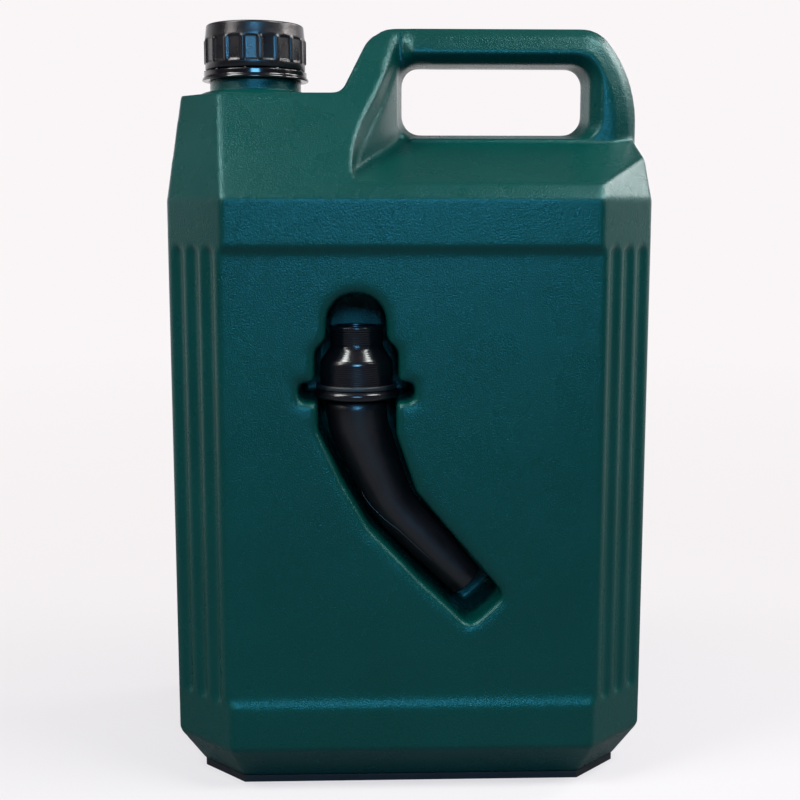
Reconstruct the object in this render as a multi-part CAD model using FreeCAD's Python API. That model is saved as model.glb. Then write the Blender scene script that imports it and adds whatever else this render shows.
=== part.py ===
import FreeCAD, Part
import math
import os

# Five-litre (one imperial gallon) blow-moulded fuel can with its spout stored in the front face.
# Millimetres. +X right, +Y away from the front face, +Z up, origin at the centre of the base.

V = FreeCAD.Vector
UP = V(0, 0, 1)
FAR = 400.0

# Can body, lower part
HALF_WIDTH = 95.0
HALF_DEPTH = 65.0
CORNER_CUT = 23.4
CORNER_SUM = HALF_WIDTH + HALF_DEPTH - CORNER_CUT
BASE_Z = 2.8
BASE_BEVEL_TOP = 17.4
BASE_BEVEL_SLOPE = 0.67
SHOULDER_Z = 233.4
WALL = 2.0
SPLIT_X = -30.0
SPLIT_Z = 255.0
SPLIT_R = 22.6

# Can body, sloping shoulders: horizontal run per unit of height
FRONT_SLOPE = 0.8125
SIDE_SLOPE = 0.065
CORNER_SLOPE = 0.72
PEDESTAL_Z = 275.0

# Recessed panel and corner flutes
PANEL_BOTTOM = 35.0
PANEL_TOP = 215.5
PANEL_DEPTH = 1.5
PANEL_STEP = 2.5
FLUTE_WIDTH = 6.0
FLUTE_DEPTH = 1.3
FLUTE_PITCH = 9.15
FLUTE_CENTRE = 0.47

# Hand opening and handle
HANDLE_TOP = 302.7
HANDLE_HALF_SLAB = 10.0
HANDLE_SIDE = 94.6
HANDLE_CORNER_X = 71.5
HANDLE_CORNER_R = 14.2
HANDLE_CORNER_TURN = 50.0
HANDLE_START_X = 0.8
HANDLE_FOOT_Z = 238.0
BAND_SECTION = [(9.0, 0.0), (12.8, 3.7), (15.5, 10.0)]
POST_CORNER_X = -4.7
POST_CORNER_R = 15.0
POST_LEAN = 65.0
POST_FILLET_R = 5.0
OPENING_LIP = (-4.3, 75.0, 258.3, 288.2)
OPENING_MID = (-2.1, 72.7, 260.4, 287.6)
OPENING_FACE = (-4.3, 80.3, 258.3, 292.7)

# Sloping floor under the hand opening
VALLEY_FRONT_Y = 60.7
VALLEY_FRONT_Z = 238.9
VALLEY_SLOPE = 0.385
VALLEY_LEDGE = 7.0
VALLEY_STEP = 0.9
VALLEY_WALL = [
    (-3.8, 9.0), (-6.8, 17.0), (-12.5, 29.1), (-18.5, 39.1), (-22.4, 50.7), (-21.8, 58.0), (-14.0, 63.5),
]
VALLEY_LEFT = -60.0
VALLEY_RIGHT = 120.0
VALLEY_OUT = 80.0
VALLEY_UNDER_Z = 220.0

# Neck, thread and screw cap
NECK_X = -63.0
NECK_BASE_R = 22.0
NECK_BASE_Z = 276.3
NECK_LOWER_R = 19.1
NECK_SHOULDER_Z = 282.0
NECK_GROOVE_R = 18.4
BEAD_Z = 283.6
BEAD_R = 19.4
BEAD_TOP = 285.2
NECK_ROOT_R = 17.2
NECK_TOP = 299.0
NECK_BORE_R = 14.8
THREAD_PITCH = 4.0
THREAD_START_Z = 289.0
THREAD_TURNS = 1.5
THREAD_CREST = 1.45
THREAD_ROOT_HALF = 1.1
THREAD_CREST_HALF = 0.45
THREAD_BITE = 0.3

RING_BOTTOM = 286.1
RING_TOP = 304.3
RING_R = 20.8
RING_TOP_R = 20.2
RING_BORE_R = 18.9
RING_HOLE_R = 13.8
RING_LIP = 2.3
RIB_COUNT = 18
RIB_WIDTH = 1.3
RIB_HEIGHT = 0.5
RIB_ROOT_R = 19.6
RIB_BOTTOM = 288.8
RIB_TOP = 298.8

SEAL_THICKNESS = 1.2
DISC_R = 17.6
SKIRT_DEPTH = 4.0
SKIRT_WALL = 1.4
FIT = 0.3
DISC_THICKNESS = RING_TOP - RING_LIP - NECK_TOP - SEAL_THICKNESS

BAND_TOP = 285.5
BAND_BOTTOM = 281.9
BAND_R = 21.3
BAND_FLARE_R = 22.0

# Stored spout
SPOUT_X = -21.5
SPOUT_Y = -47.6
MOUTH_Z = 184.6
MOUTH_RIM_R = 10.8
NARROW_R = 10.1
SHOULDER_LOW_Z = 171.0
SHOULDER_HIGH_Z = 176.5
MID_R = 14.2
FLANGE_R = 16.8
FLANGE_BOTTOM = 156.5
FLANGE_TOP = 160.1
SPOUT_BORE_R = 8.6
SPIGOT_R = 11.2
SPIGOT_TOP = 168.0
SPOUT_SEAL_TOP = 161.9
SPOUT_SEAL_R = 15.9
TUBE_WALL = 1.6
TUBE_PATH = [(SPOUT_X, FLANGE_BOTTOM), (SPOUT_X, 146.4), (-8.0, 113.4), (22.4, 81.4)]
TUBE_RADII = [12.1, 11.8, 9.0, 7.2]
BEND_REACH = [5.5, 9.0]
BREATHER_R = 2.0
BREATHER_WALL = 0.5
BREATHER_ANGLE = 35.0
BREATHER_GAP = 0.05
VENT_SHARE = 0.62
VENT_R = 1.2

# Pocket in the front face that holds the spout
POCKET_DEPTH = 36.0
DOME_R = 11.7
DOME_Z = 186.1
POCKET_MID_HALF = 16.3
POCKET_MID_TOP = 175.5
POCKET_SLOT_HALF = 22.3
POCKET_SLOT_TOP = 163.6
POCKET_SLOT_BOTTOM = 156.0
POCKET_CHANNEL = [
    (-36.6, 160.0), (-36.4, 145.0), (-27.3, 125.3), (-17.0, 107.0), (3.2, 85.6),
    (20.6, 68.9), (22.8, 67.8), (25.0, 68.8), (34.0, 77.0), (35.2, 79.1), (34.3, 81.3),
    (1.6, 120.4), (-6.2, 143.0), (-6.2, 160.0),
]
POCKET_BEVEL = 1.3
POCKET_STUB = 1.0


def polygon(points):
    return Part.makePolygon(points + [points[0]])


def prism(points, direction):
    return Part.Face(polygon(points)).extrude(direction)


def half_space(normal, distance):
    """A large block on the outer side of a plane at a distance from the origin along its normal."""
    unit = V(*normal).normalize()
    block = Part.makeBox(2 * FAR, 2 * FAR, FAR, V(-FAR, -FAR, 0))
    block.Placement = FreeCAD.Placement(unit * distance, FreeCAD.Rotation(UP, unit))
    return block


def keep_inside(shape, planes):
    """Cut a solid back to the inner side of each plane normal . p = value, moved in by its inset."""
    for normal, value, inset in planes:
        length = V(*normal).Length
        shape = shape.cut(half_space(normal, value / length - inset))
    return shape


def main_planes(panel, corner, wall):
    """Planes of the can without its handle, moved inwards by three insets."""
    planes = [
        ((0, 0, 1), PEDESTAL_Z, wall),
        ((0, 0, -1), -BASE_Z, wall),
    ]
    for side in (-1, 1):
        planes += [
            ((side, 0, 0), HALF_WIDTH, wall),
            ((side, 0, SIDE_SLOPE), HALF_WIDTH + SIDE_SLOPE * SHOULDER_Z, wall),
            ((side, 0, -BASE_BEVEL_SLOPE), HALF_WIDTH - BASE_BEVEL_SLOPE * BASE_BEVEL_TOP, wall),
            ((0, side, 0), HALF_DEPTH, panel),
            ((0, side, FRONT_SLOPE), HALF_DEPTH + FRONT_SLOPE * SHOULDER_Z, wall),
            ((0, side, -BASE_BEVEL_SLOPE), HALF_DEPTH - BASE_BEVEL_SLOPE * BASE_BEVEL_TOP, wall),
        ]
        for end in (-1, 1):
            bevel = BASE_BEVEL_SLOPE * math.sqrt(2)
            planes += [
                ((side, end, 0), CORNER_SUM, corner),
                ((side, end, CORNER_SLOPE), CORNER_SUM + CORNER_SLOPE * SHOULDER_Z, wall),
                ((side, end, -bevel), CORNER_SUM - bevel * BASE_BEVEL_TOP, wall),
            ]
    return planes


def main_block(panel, corner, wall):
    block = Part.makeBox(2 * HALF_WIDTH, 2 * HALF_DEPTH, PEDESTAL_Z, V(-HALF_WIDTH, -HALF_DEPTH, 0))
    return keep_inside(block, main_planes(panel, corner, wall))


def xz(x, z, y=0.0):
    return V(x, y, z)


def handle_outline(inset, y):
    """Outer edge of the handle from its left start over the top and down the right post."""
    turn = math.radians(HANDLE_CORNER_TURN)
    small = HANDLE_CORNER_R
    centre = (HANDLE_CORNER_X, HANDLE_TOP - small)
    joint = (centre[0] + small * math.sin(turn), centre[1] + small * math.cos(turn))
    large = (HANDLE_SIDE - joint[0]) / (1 - math.sin(turn))
    side_centre = (HANDLE_SIDE - large, joint[1] - large * math.cos(turn))

    def on_arc(middle, radius, angle):
        return xz(middle[0] + radius * math.sin(angle), middle[1] + radius * math.cos(angle), y)

    top = HANDLE_TOP - inset
    small_arc = [on_arc(centre, small - inset, turn * part) for part in (0, 0.5, 1)]
    rest = math.pi / 2 - turn
    large_arc = [on_arc(side_centre, large - inset, turn + rest * part) for part in (0, 0.5, 1)]
    foot_right = xz(HANDLE_SIDE - inset, HANDLE_FOOT_Z, y)
    foot_left = xz(HANDLE_START_X, HANDLE_FOOT_Z, y)
    start = xz(HANDLE_START_X, top, y)
    return Part.Wire([
        Part.LineSegment(start, small_arc[0]).toShape(),
        Part.Arc(*small_arc).toShape(),
        Part.Arc(*large_arc).toShape(),
        Part.LineSegment(large_arc[2], foot_right).toShape(),
        Part.LineSegment(foot_right, foot_left).toShape(),
        Part.LineSegment(foot_left, start).toShape(),
    ])


def handle_band(wall):
    """Bar and right post: a slab with bevelled front and back faces."""
    half = [(depth - wall, inset + wall) for depth, inset in BAND_SECTION]
    stations = [(-depth, inset) for depth, inset in reversed(half)] + half
    wires = [handle_outline(inset, depth) for depth, inset in stations]
    band = Part.makeLoft(wires, True, True)
    below_foot = Part.makeBox(FAR, FAR, HANDLE_FOOT_Z, V(-FAR / 2, -FAR / 2, 0))
    return band.cut(below_foot)


def post_outline(wall):
    """Left post: pedestal fillet, leaning edge, rounded top; closed through the inside of the can."""
    lean = math.radians(POST_LEAN)
    radius = POST_CORNER_R - wall
    centre = (POST_CORNER_X, HANDLE_TOP - POST_CORNER_R)
    arc = [
        xz(centre[0] - radius * math.sin(lean * part), centre[1] + radius * math.cos(lean * part))
        for part in (1, 0.5, 0)
    ]
    floor = PEDESTAL_Z - wall
    edge_foot = arc[0].x - (arc[0].z - floor) / math.tan(lean)
    tangent = (POST_FILLET_R + wall) * math.tan(lean / 2)
    fillet_centre = (edge_foot - tangent, floor + POST_FILLET_R + wall)
    fillet = [
        xz(
            fillet_centre[0] + (POST_FILLET_R + wall) * math.sin(lean * part),
            fillet_centre[1] - (POST_FILLET_R + wall) * math.cos(lean * part),
        )
        for part in (0, 0.5, 1)
    ]
    right = OPENING_LIP[0] + 10
    corners = [xz(right, arc[2].z), xz(right, HANDLE_FOOT_Z), xz(fillet[0].x, HANDLE_FOOT_Z)]
    return Part.Wire([
        Part.Arc(*fillet).toShape(),
        Part.LineSegment(fillet[2], arc[0]).toShape(),
        Part.Arc(*arc).toShape(),
        Part.LineSegment(arc[2], corners[0]).toShape(),
        Part.LineSegment(corners[0], corners[1]).toShape(),
        Part.LineSegment(corners[1], corners[2]).toShape(),
        Part.LineSegment(corners[2], fillet[0]).toShape(),
    ])


def left_post(wall):
    face = Part.Face(post_outline(wall))
    face.translate(V(0, -HALF_DEPTH, 0))
    post = face.extrude(V(0, 2 * HALF_DEPTH, 0))
    slopes = [((0, side, FRONT_SLOPE), HALF_DEPTH + FRONT_SLOPE * SHOULDER_Z, wall) for side in (-1, 1)]
    return keep_inside(post, slopes)


def valley_floor(y, wall):
    return VALLEY_FRONT_Z + VALLEY_SLOPE * (VALLEY_FRONT_Y - y) - wall * math.hypot(1, VALLEY_SLOPE)


def valley_cutter(side, wall):
    """Space in front of (side -1) or behind (side 1) the handle, right of the post and over the floor."""
    near = HANDLE_HALF_SLAB - wall
    above = HANDLE_TOP + 10
    section = [
        V(VALLEY_LEFT, side * near, valley_floor(near, wall)),
        V(VALLEY_LEFT, side * VALLEY_OUT, valley_floor(VALLEY_OUT, wall)),
        V(VALLEY_LEFT, side * VALLEY_OUT, above),
        V(VALLEY_LEFT, side * near, above),
    ]
    space = prism(section, V(VALLEY_RIGHT - VALLEY_LEFT, 0, 0))
    wall_points = [V(x - wall, side * y, VALLEY_UNDER_Z) for x, y in VALLEY_WALL]
    edge = Part.BSplineCurve()
    edge.interpolate(wall_points)
    first = wall_points[0]
    last = wall_points[-1]
    corners = [
        last,
        V(last.x, side * VALLEY_OUT, VALLEY_UNDER_Z),
        V(VALLEY_RIGHT, side * VALLEY_OUT, VALLEY_UNDER_Z),
        V(VALLEY_RIGHT, first.y, VALLEY_UNDER_Z),
        first,
    ]
    sides = [Part.LineSegment(a, b).toShape() for a, b in zip(corners, corners[1:])]
    plan = Part.Face(Part.Wire([edge.toShape()] + sides))
    column = plan.extrude(V(0, 0, above - VALLEY_UNDER_Z))
    stepped = column.copy()
    stepped.translate(V(VALLEY_STEP, 0, 0))
    slope = (0, side, FRONT_SLOPE)
    slope_distance = (HALF_DEPTH + FRONT_SLOPE * SHOULDER_Z) / math.hypot(1, FRONT_SLOPE)
    ledge = half_space(slope, slope_distance - VALLEY_LEDGE)
    return space.common(column.common(ledge).fuse(stepped))


def rounded_rectangle(box, radii, y):
    """Closed wire in an XZ plane; radii run bottom left, bottom right, top right, top left."""
    x0, x1, z0, z1 = box
    corners = [(x0, z0, 180), (x1, z0, 270), (x1, z1, 0), (x0, z1, 90)]
    arcs = []
    for (x, z, start), radius in zip(corners, radii):
        cx = x + radius if x == x0 else x - radius
        cz = z + radius if z == z0 else z - radius
        angles = [math.radians(start + turn) for turn in (0, 45, 90)]
        arcs.append([xz(cx + radius * math.cos(a), cz + radius * math.sin(a), y) for a in angles])
    edges = []
    for arc, following in zip(arcs, arcs[1:] + arcs[:1]):
        edges.append(Part.Arc(*arc).toShape())
        edges.append(Part.LineSegment(arc[2], following[0]).toShape())
    return Part.Wire(edges)


def opening_cutter(wall):
    """Hand opening: widest at the faces, narrowest at the mould line in the middle."""
    def grown(box):
        return (box[0] - wall, box[1] + wall, box[2] - wall, box[3] + wall)

    lip_y = HANDLE_HALF_SLAB
    face_y = BAND_SECTION[-1][0] + 1
    face = [7.0, 7.0, 13.0, 7.0]
    lip = [7.5, 7.5, 7.5, 7.5]
    stations = [
        (-face_y, OPENING_FACE, face),
        (-lip_y, OPENING_LIP, lip),
        (0, OPENING_MID, lip),
        (lip_y, OPENING_LIP, lip),
        (face_y, OPENING_FACE, face),
    ]
    wires = [rounded_rectangle(grown(box), radii, y) for y, box, radii in stations]
    return Part.makeLoft(wires, True, True)


def pocket_block(grow, depth):
    """Spout pocket grown outwards by a margin and cut to a depth behind the front face."""
    flare = POCKET_MID_HALF - DOME_R
    outlines = [
        [(-POCKET_MID_HALF, FLANGE_BOTTOM), (POCKET_MID_HALF, FLANGE_BOTTOM),
         (POCKET_MID_HALF, POCKET_MID_TOP), (-POCKET_MID_HALF, POCKET_MID_TOP)],
        [(-POCKET_SLOT_HALF, POCKET_SLOT_BOTTOM), (POCKET_SLOT_HALF, POCKET_SLOT_BOTTOM),
         (POCKET_SLOT_HALF, POCKET_SLOT_TOP), (-POCKET_SLOT_HALF, POCKET_SLOT_TOP)],
        [(-POCKET_MID_HALF, POCKET_MID_TOP), (POCKET_MID_HALF, POCKET_MID_TOP),
         (DOME_R, POCKET_MID_TOP + flare), (-DOME_R, POCKET_MID_TOP + flare)],
        [(-DOME_R, POCKET_MID_TOP), (DOME_R, POCKET_MID_TOP), (DOME_R, DOME_Z), (-DOME_R, DOME_Z)],
    ]
    wires = [polygon([xz(SPOUT_X + x, z) for x, z in outline]) for outline in outlines]
    wires.append(polygon([xz(x, z) for x, z in POCKET_CHANNEL]))
    wires.append(Part.Wire(Part.makeCircle(DOME_R, xz(SPOUT_X, DOME_Z), V(0, 1, 0))))
    block = None
    for wire in wires:
        face = Part.Face(wire)
        if grow:
            face = face.makeOffset2D(grow)
        face.translate(V(0, -HALF_DEPTH - 1, 0))
        piece = face.extrude(V(0, depth + 1, 0))
        block = block.fuse(piece) if block else piece
    return block.removeSplitter()


def pocket_cutter(wall):
    pocket = pocket_block(wall, POCKET_DEPTH + wall)
    return pocket.fuse(pocket_block(wall + POCKET_BEVEL, PANEL_DEPTH + POCKET_BEVEL + wall))


def panel_cutter(side):
    """Shallow recess across the front or back face, with sloping ends."""
    face = side * (HALF_DEPTH + 1)
    floor = side * (HALF_DEPTH - PANEL_DEPTH)
    spread = PANEL_STEP * (1 + PANEL_DEPTH) / PANEL_DEPTH
    section = [
        V(-FAR / 2, face, PANEL_BOTTOM - spread + PANEL_STEP),
        V(-FAR / 2, floor, PANEL_BOTTOM + PANEL_STEP),
        V(-FAR / 2, floor, PANEL_TOP - PANEL_STEP),
        V(-FAR / 2, face, PANEL_TOP + spread - PANEL_STEP),
    ]
    return prism(section, V(FAR, 0, 0))


def flute_cutters():
    """Three round-ended vertical grooves on each of the four corner faces."""
    radius = (FLUTE_WIDTH ** 2 / 4 + FLUTE_DEPTH ** 2) / (2 * FLUTE_DEPTH)
    out = (radius - FLUTE_DEPTH) / math.sqrt(2)
    low = PANEL_BOTTOM + FLUTE_WIDTH / 2
    high = PANEL_TOP - FLUTE_WIDTH / 2
    flutes = []
    for number in (-1, 0, 1):
        along = FLUTE_CENTRE * CORNER_CUT + number * FLUTE_PITCH / math.sqrt(2)
        x = HALF_WIDTH - along + out
        y = HALF_DEPTH - CORNER_CUT + along + out
        for sx in (-1, 1):
            for sy in (-1, 1):
                foot = V(sx * x, sy * y, low)
                flute = Part.makeCylinder(radius, high - low, foot)
                flute = flute.fuse(Part.makeSphere(radius, foot))
                flutes.append(flute.fuse(Part.makeSphere(radius, V(foot.x, foot.y, high))))
    return flutes


def closed_shape(panel, corner, wall):
    """The can with its handle as one solid, moved inwards by the insets; used for skin and cavity."""
    shape = main_block(panel, corner, wall).fuse(left_post(wall))
    for side in (-1, 1):
        shape = shape.cut(valley_cutter(side, wall))
    return shape.fuse(handle_band(wall)).cut(opening_cutter(wall))


def revolve(profile, x, y):
    """Solid of revolution about the vertical through (x, y) from (radius, z) points."""
    face = Part.Face(polygon([xz(r, z) for r, z in profile]))
    solid = face.revolve(V(0, 0, 0), UP, 360)
    solid.translate(V(x, y, 0))
    return solid


def neck_outside():
    profile = [
        (0, PEDESTAL_Z - WALL - 3),
        (NECK_BASE_R, PEDESTAL_Z - WALL - 3),
        (NECK_BASE_R, PEDESTAL_Z + 0.5),
        (NECK_BASE_R - 0.8, NECK_BASE_Z),
        (NECK_LOWER_R, NECK_BASE_Z),
        (NECK_LOWER_R, NECK_SHOULDER_Z),
        (NECK_GROOVE_R, NECK_SHOULDER_Z),
        (NECK_GROOVE_R, BEAD_Z),
        (BEAD_R, BEAD_Z),
        (BEAD_R, BEAD_TOP),
        (NECK_ROOT_R + 1.0, RING_BOTTOM - 0.2),
        (NECK_ROOT_R, RING_BOTTOM + 0.6),
        (NECK_ROOT_R, NECK_TOP - 0.5),
        (NECK_ROOT_R - 0.5, NECK_TOP),
        (0, NECK_TOP),
    ]
    return revolve(profile, NECK_X, 0)


def thread(radius, crest, start_angle):
    """Helical ridge on a cylinder; a positive crest points outwards, a negative one inwards."""
    root = radius - math.copysign(THREAD_BITE, crest)
    helix = Part.makeHelix(THREAD_PITCH, THREAD_PITCH * THREAD_TURNS, radius)
    section = polygon([
        V(root, 0, -THREAD_ROOT_HALF),
        V(radius + crest, 0, -THREAD_CREST_HALF),
        V(radius + crest, 0, THREAD_CREST_HALF),
        V(root, 0, THREAD_ROOT_HALF),
    ])
    ridge = Part.Wire(helix.Edges).makePipeShell([section], True, True)
    ridge.rotate(V(0, 0, 0), UP, start_angle)
    ridge.translate(V(NECK_X, 0, THREAD_START_Z))
    return ridge


def moulded_shell():
    """The whole blow-moulded can: skin, pocket, handle and neck."""
    shell = closed_shape(0, 0, 0)
    for side in (-1, 1):
        shell = shell.cut(panel_cutter(side))
    for flute in flute_cutters():
        shell = shell.cut(flute)
    shell = shell.cut(pocket_cutter(0)).fuse(neck_outside())
    cavity = closed_shape(WALL + PANEL_DEPTH, WALL + FLUTE_DEPTH, WALL).cut(pocket_cutter(WALL))
    bore = Part.makeCylinder(NECK_BORE_R, NECK_TOP - PEDESTAL_Z + 20, V(NECK_X, 0, PEDESTAL_Z - 10))
    shell = shell.cut(cavity).cut(bore)
    return shell.fuse(thread(NECK_ROOT_R, THREAD_CREST, 0))


def can_zones():
    """Spaces that divide the moulded shell: handle, roof, neck, and pocket walls behind the front skin."""
    rise = HANDLE_TOP + 10 - SPLIT_Z
    handle = Part.makeBox(2 * FAR, 2 * FAR, rise, V(SPLIT_X, -FAR, SPLIT_Z))
    neck = Part.makeCylinder(SPLIT_R, rise, V(NECK_X, 0, SPLIT_Z))
    roof = Part.makeBox(SPLIT_X + FAR, 2 * FAR, rise, V(-FAR, -FAR, SPLIT_Z)).cut(neck)
    skin = PANEL_DEPTH + WALL + POCKET_BEVEL + POCKET_STUB
    behind_skin = half_space((0, 1, 0), skin - HALF_DEPTH)
    pocket = pocket_block(WALL + 0.1, POCKET_DEPTH + WALL + 0.1).common(behind_skin)
    return handle, roof, neck, pocket


def can_nodes():
    """The moulded shell as five solids that touch but don't overlap."""
    shell = moulded_shell()
    handle, roof, neck, pocket = can_zones()
    return {
        "can_body": shell.cut(handle).cut(roof).cut(neck).cut(pocket),
        "can_handle": shell.common(handle),
        "can_roof": shell.common(roof),
        "can_neck": shell.common(neck),
        "spout_pocket": shell.common(pocket),
    }


def base_foot():
    """Octagonal pad under the can, just inside the bottom edge of the bevel."""
    inset = BASE_BEVEL_SLOPE * (BASE_BEVEL_TOP - BASE_Z) + 0.3
    half_width = HALF_WIDTH - inset
    half_depth = HALF_DEPTH - inset
    total = CORNER_SUM - inset * math.sqrt(2)
    quarter = [(half_width, total - half_width), (total - half_depth, half_depth)]
    points = []
    for sx, sy, order in ((1, 1, 1), (-1, 1, -1), (-1, -1, 1), (1, -1, -1)):
        points += [V(sx * x, sy * y, 0) for x, y in quarter[::order]]
    return prism(points, V(0, 0, BASE_Z))


def screw_ring():
    profile = [
        (RING_BORE_R, RING_BOTTOM),
        (RING_R, RING_BOTTOM),
        (RING_R, RIB_BOTTOM),
        (RING_R - 0.3, RIB_BOTTOM + 0.4),
        (RING_R - 0.3, RIB_TOP),
        (RING_R - 0.2, RIB_TOP + 0.5),
        (RING_TOP_R, RING_TOP - 0.4),
        (RING_TOP_R - 0.5, RING_TOP),
        (RING_HOLE_R, RING_TOP),
        (RING_HOLE_R, RING_TOP - RING_LIP),
        (RING_BORE_R, RING_TOP - RING_LIP),
    ]
    ring = revolve(profile, NECK_X, 0)
    rib_root = V(RIB_ROOT_R, -RIB_WIDTH / 2, RIB_BOTTOM)
    rib = Part.makeBox(RING_R + RIB_HEIGHT - RIB_ROOT_R, RIB_WIDTH, RIB_TOP - RIB_BOTTOM, rib_root)
    for number in range(RIB_COUNT):
        one = rib.copy()
        one.rotate(V(0, 0, 0), UP, number * 360 / RIB_COUNT)
        one.translate(V(NECK_X, 0, 0))
        ring = ring.fuse(one)
    # Half a turn round, so that each ridge lies in the middle of the other's gap.
    return ring.fuse(thread(RING_BORE_R, -THREAD_CREST, 180)).removeSplitter()


def closing_disc():
    flange_bottom = NECK_TOP + SEAL_THICKNESS
    flange_top = flange_bottom + DISC_THICKNESS
    skirt_r = NECK_BORE_R - FIT
    skirt_bottom = NECK_TOP - SKIRT_DEPTH
    profile = [
        (0, flange_bottom),
        (skirt_r - SKIRT_WALL, flange_bottom),
        (skirt_r - SKIRT_WALL, skirt_bottom),
        (skirt_r - 0.4, skirt_bottom),
        (skirt_r, skirt_bottom + 1.0),
        (skirt_r, flange_bottom),
        (DISC_R, flange_bottom),
        (DISC_R, flange_top),
        (RING_HOLE_R - 0.2, flange_top),
        (RING_HOLE_R - 0.2, RING_TOP - 0.9),
        (RING_HOLE_R - 0.8, RING_TOP - 0.3),
        (0, RING_TOP - 0.3),
    ]
    return revolve(profile, NECK_X, 0)


def disc_seal():
    inner = NECK_BORE_R - FIT
    profile = [
        (inner, NECK_TOP),
        (DISC_R - 0.4, NECK_TOP),
        (DISC_R - 0.4, NECK_TOP + SEAL_THICKNESS),
        (inner, NECK_TOP + SEAL_THICKNESS),
    ]
    return revolve(profile, NECK_X, 0)


def tamper_band():
    lip_r = NECK_GROOVE_R + 0.25
    profile = [
        (lip_r, NECK_SHOULDER_Z + 0.2),
        (NECK_LOWER_R + FIT, NECK_SHOULDER_Z + 0.2),
        (NECK_LOWER_R + FIT, BAND_BOTTOM),
        (BAND_FLARE_R, BAND_BOTTOM),
        (BAND_FLARE_R, BAND_BOTTOM + 0.7),
        (BAND_R, BAND_BOTTOM + 1.8),
        (BAND_R, BAND_TOP - 0.3),
        (BAND_R - 0.3, BAND_TOP),
        (BEAD_R + 0.35, BAND_TOP),
        (BEAD_R + 0.35, BEAD_Z - 0.2),
        (lip_r, BEAD_Z - 0.2),
    ]
    return revolve(profile, NECK_X, 0)


def spout_collar():
    """Stepped plug that fits the neck, with the flange that the screw ring clamps."""
    profile = [
        (SPIGOT_R, FLANGE_BOTTOM),
        (FLANGE_R - 0.8, FLANGE_BOTTOM),
        (FLANGE_R, FLANGE_BOTTOM + 0.9),
        (FLANGE_R, FLANGE_TOP - 0.9),
        (FLANGE_R - 0.8, FLANGE_TOP),
        (MID_R, FLANGE_TOP),
        (MID_R, SHOULDER_LOW_Z),
        (NARROW_R, SHOULDER_HIGH_Z),
        (NARROW_R, MOUTH_Z - 2.2),
        (MOUTH_RIM_R, MOUTH_Z - 1.8),
        (MOUTH_RIM_R, MOUTH_Z - 0.4),
        (MOUTH_RIM_R - 0.4, MOUTH_Z),
        (SPOUT_BORE_R, MOUTH_Z),
        (SPOUT_BORE_R, SPIGOT_TOP),
        (SPIGOT_R, SPIGOT_TOP),
    ]
    return revolve(profile, SPOUT_X, SPOUT_Y)


def spout_seal():
    profile = [
        (MID_R, FLANGE_TOP),
        (SPOUT_SEAL_R - 0.3, FLANGE_TOP),
        (SPOUT_SEAL_R, FLANGE_TOP + 0.3),
        (SPOUT_SEAL_R, SPOUT_SEAL_TOP - 0.3),
        (SPOUT_SEAL_R - 0.3, SPOUT_SEAL_TOP),
        (MID_R, SPOUT_SEAL_TOP),
    ]
    return revolve(profile, SPOUT_X, SPOUT_Y)


def tube_stations():
    """Points, radii and directions down the bent tube, with each bend spread over several stations."""
    points = [V(x, 0, z) for x, z in TUBE_PATH]
    runs = [b - a for a, b in zip(points, points[1:])]
    stations = [(points[0], TUBE_RADII[0], V(*runs[0]).normalize())]
    for index in range(1, len(points) - 1):
        middle = points[index]
        before = runs[index - 1]
        after = runs[index]
        reach = BEND_REACH[index - 1]
        start = middle - before * (reach / before.Length)
        end = middle + after * (reach / after.Length)
        radius = TUBE_RADII[index]
        start_r = radius + (TUBE_RADII[index - 1] - radius) * reach / before.Length
        end_r = radius + (TUBE_RADII[index + 1] - radius) * reach / after.Length
        for t in (0, 0.25, 0.5, 0.75, 1):
            place = start * (1 - t) ** 2 + middle * (2 * t * (1 - t)) + end * t ** 2
            width = start_r * (1 - t) ** 2 + radius * (2 * t * (1 - t)) + end_r * t ** 2
            direction = (middle - start) * (1 - t) + (end - middle) * t
            stations.append((place, width, direction.normalize()))
    stations.append((points[-1], TUBE_RADII[-1], V(*runs[-1]).normalize()))
    return stations


def left_of(direction):
    """Unit vector to the left of the tube, seen from the front with the tube running down."""
    return V(0, 1, 0).cross(direction).normalize()


def loft_circles(stations, width, shift):
    """Loft through circles; shift gives how far each moves to the left and forwards for its radius."""
    wires = []
    across = V(0, 1, 0)
    for place, radius, direction in stations:
        side, forward = shift(radius)
        circle = Part.makeCircle(width(radius))
        turn = FreeCAD.Rotation(across, direction.cross(across), direction, "ZXY")
        centre = place + left_of(direction) * side + V(0, SPOUT_Y - forward, 0)
        circle.Placement = FreeCAD.Placement(centre, turn)
        wires.append(Part.Wire(circle))
    return Part.makeLoft(wires, True, True)


def on_axis(radius):
    return 0.0, 0.0


def against_wall(radius):
    """Place of the breather inside the tube: front left, just clear of the wall."""
    reach = radius - TUBE_WALL - BREATHER_R - BREATHER_GAP
    angle = math.radians(BREATHER_ANGLE)
    return reach * math.sin(angle), reach * math.cos(angle)


def vent_station():
    """Point on the last straight run of the tube where the breather ends."""
    (place, radius, direction), (tip, tip_radius, _) = tube_stations()[-2:]
    return place + (tip - place) * VENT_SHARE, radius + (tip_radius - radius) * VENT_SHARE, direction


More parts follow.
